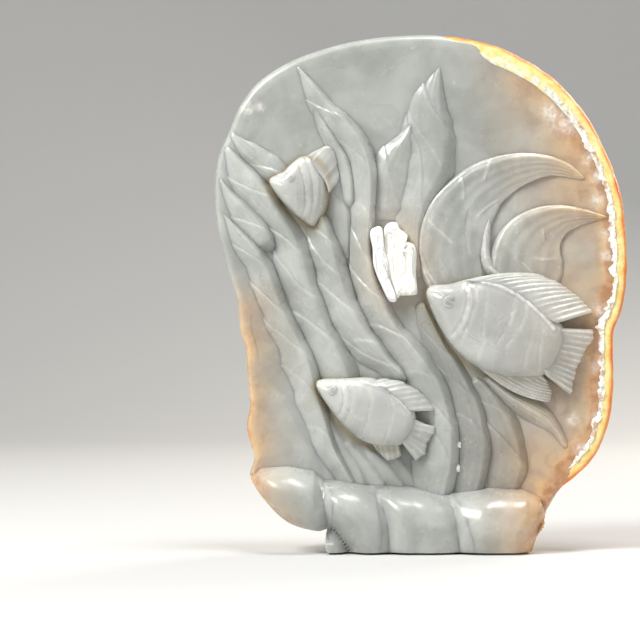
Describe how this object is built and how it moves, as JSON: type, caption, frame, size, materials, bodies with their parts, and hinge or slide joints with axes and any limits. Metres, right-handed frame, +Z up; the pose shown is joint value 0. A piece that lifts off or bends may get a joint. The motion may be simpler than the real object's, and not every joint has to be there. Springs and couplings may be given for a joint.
{
  "type": "jade figurine",
  "caption": "Upright carved jade pebble: fish swimming through reeds over boulders in deep relief, with russet skin and crystal at one edge.",
  "frame": {"origin": "middle of the bounding box's bottom, on the ground-flat foot", "axes": "+Z up, from the foot to the crown; the carved front faces -Y; +X towards the right edge as seen from the front, where the skin is"},
  "size_m": [0.1198, 0.035, 0.15],
  "materials": {
    "jade": "pale grey-green translucent jade, satin polish",
    "jade_polished": "pale grey-green translucent jade, high polish",
    "russet_skin": "orange-brown weathered pebble skin, soft polish",
    "quartz": "white sugary crystal, broken surface"
  },
  "bodies": {
    "root": {"boulder_left": "jade", "boulder_middle_left": "jade", "boulder_middle_right": "jade", "boulder_right": "jade", "fish_large_anal_fin": "jade_polished", "fish_large_body": "jade_polished", "fish_large_dorsal_fin": "jade_polished", "fish_large_eye": "jade_polished", "fish_large_tail_fin": "jade_polished", "fish_lower_body": "jade_polished", "fish_lower_dorsal_fin": "jade_polished", "fish_lower_eye": "jade_polished", "fish_lower_pelvic_fin": "jade_polished", "fish_lower_tail_fin": "jade_polished", "fish_upper_body": "jade_polished", "fish_upper_dorsal_fin": "jade_polished", "fish_upper_eye": "jade_polished", "frond_curled": "jade", "frond_large": "jade", "frond_lip": "jade", "quartz_crust": "quartz", "quartz_slab_left": "quartz", "quartz_slab_right": "quartz", "quartz_speck_lower": "quartz", "quartz_speck_upper": "quartz", "reed_behind_fish": "jade", "reed_broad": "jade", "reed_centre": "jade", "reed_crown_left": "jade", "reed_left": "jade", "reed_low_inner": "jade", "reed_low_outer": "jade", "reed_mid": "jade", "reed_narrow": "jade", "reed_outer": "jade", "reed_rim": "jade", "reed_tall": "jade", "russet_skin": "russet_skin", "stone_ground": "jade", "streamer_fin": "jade_polished"}
  },
  "joints": []
}
